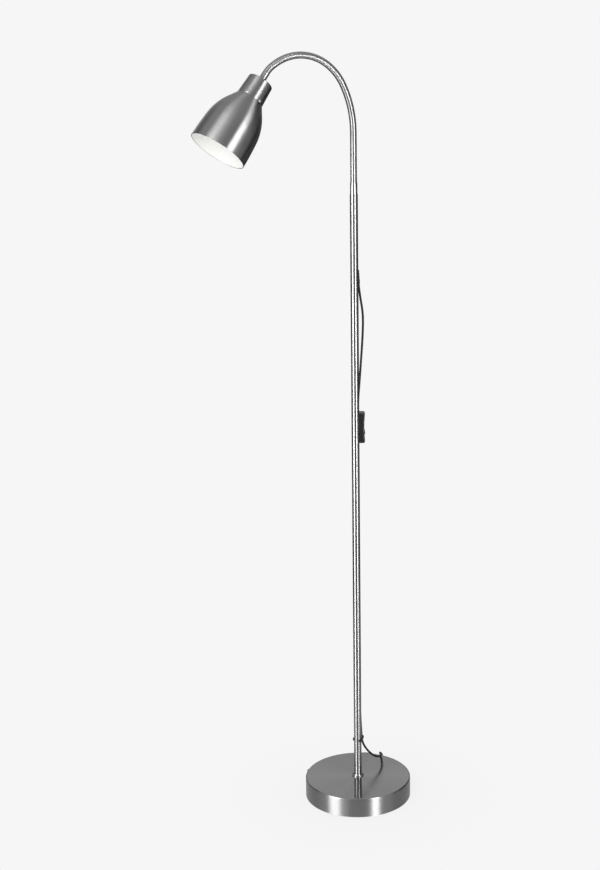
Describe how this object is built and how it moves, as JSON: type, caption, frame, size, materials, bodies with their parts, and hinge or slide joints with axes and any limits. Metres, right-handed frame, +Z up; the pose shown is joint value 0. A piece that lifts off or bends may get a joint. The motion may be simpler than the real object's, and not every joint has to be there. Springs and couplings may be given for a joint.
{
  "type": "gooseneck reading floor lamp",
  "caption": "Floor lamp with a round weighted base, a slim pole, a bendable ribbed gooseneck, a flared metal shade and a rocker switch in its cord.",
  "frame": {"origin": "middle of the felt pad on the underside of the base, on the pole axis", "axes": "+Z up along the pole; the gooseneck arches in the XZ plane and the lamp head hangs over -X"},
  "size_m": [0.3866, 0.2107, 1.2704],
  "materials": {
    "brushed_steel_base": "satin",
    "brushed_steel_pole": "satin",
    "brushed_steel_shade": "satin",
    "gooseneck_steel": "satin",
    "plated_steel": "polished",
    "cast_iron_weight": "matte",
    "felt": "matte",
    "white_holder": "satin",
    "white_bracket": "satin",
    "brass_contact": "satin",
    "bulb_cap_metal": "satin",
    "opal_globe": "satin",
    "black_cord": "matte",
    "black_plastic": "satin",
    "black_rocker": "gloss"
  },
  "bodies": {
    "stand": {"base_cover": "brushed_steel_base", "base_nut": "plated_steel", "base_pad": "felt", "base_washer": "plated_steel", "base_weight": "cast_iron_weight", "cord_clip": "black_plastic", "cord_coil": "black_cord", "cord_exit_relief": "black_plastic", "cord_lower": "black_cord", "cord_tail": "black_cord", "cord_upper": "black_cord", "gooseneck_1": "gooseneck_steel", "plug_blades": "brass_contact", "plug_body": "black_plastic", "plug_relief": "black_plastic", "pole_collar": "plated_steel", "pole_ferrule": "brushed_steel_pole", "pole_insert": "plated_steel", "pole_stud": "plated_steel", "pole_tube": "brushed_steel_pole", "switch_lower_shell": "black_plastic", "switch_pin": "plated_steel", "switch_screws": "plated_steel", "switch_terminals": "brass_contact", "switch_upper_shell": "black_plastic"},
    "hose_2": {"gooseneck_2": "gooseneck_steel"},
    "hose_3": {"gooseneck_3": "gooseneck_steel"},
    "hose_4": {"gooseneck_4": "gooseneck_steel"},
    "hose_5": {"gooseneck_5": "gooseneck_steel"},
    "hose_6": {"gooseneck_6": "gooseneck_steel"},
    "hose_7": {"gooseneck_7": "gooseneck_steel"},
    "hose_8": {"gooseneck_8": "gooseneck_steel"},
    "head": {"gooseneck_9": "gooseneck_steel", "upper_ferrule": "brushed_steel_pole", "shade": "brushed_steel_shade", "shade_nut": "plated_steel", "shade_screws": "plated_steel", "lampholder_bracket": "white_bracket", "lampholder": "white_holder", "lampholder_contact": "brass_contact", "bulb_cap": "bulb_cap_metal", "bulb_globe": "opal_globe"},
    "rocker": {"switch_rocker": "black_rocker"}
  },
  "joints": [
    {"name": "neck_sway_1", "type": "hinge", "parent": "stand", "child": "hose_2", "pos_m": [0, 0, 1.10183], "axis": [1, 0, 0], "range_deg": [-20, 20]},
    {"name": "neck_bend_2", "type": "hinge", "parent": "hose_2", "child": "hose_3", "pos_m": [0, 0, 1.13727], "axis": [0, -1, 0], "range_deg": [-24, 12]},
    {"name": "neck_bend_3", "type": "hinge", "parent": "hose_3", "child": "hose_4", "pos_m": [-0.00261, 0, 1.17255], "axis": [0, -1, 0], "range_deg": [-24, 12]},
    {"name": "neck_bend_4", "type": "hinge", "parent": "hose_4", "child": "hose_5", "pos_m": [-0.01297, 0, 1.20635], "axis": [0, -1, 0], "range_deg": [-24, 12]},
    {"name": "neck_sway_5", "type": "hinge", "parent": "hose_5", "child": "hose_6", "pos_m": [-0.03165, 0, 1.23626], "axis": [0.7351, 0, 0.6779], "range_deg": [-20, 20]},
    {"name": "neck_bend_6", "type": "hinge", "parent": "hose_6", "child": "hose_7", "pos_m": [-0.06015, 0, 1.25692], "axis": [0, -1, 0], "range_deg": [-24, 12]},
    {"name": "neck_bend_7", "type": "hinge", "parent": "hose_7", "child": "hose_8", "pos_m": [-0.09443, 0, 1.26494], "axis": [0, -1, 0], "range_deg": [-24, 12]},
    {"name": "neck_bend_8", "type": "hinge", "parent": "hose_8", "child": "head", "pos_m": [-0.12914, 0, 1.25908], "axis": [0, -1, 0], "range_deg": [-24, 12]},
    {"name": "switch_rock", "type": "hinge", "parent": "stand", "child": "rocker", "pos_m": [0.01927, 0.00872, 0.6588], "axis": [0.5592, 0.829, 0], "range_deg": [0, 10]}
  ]
}
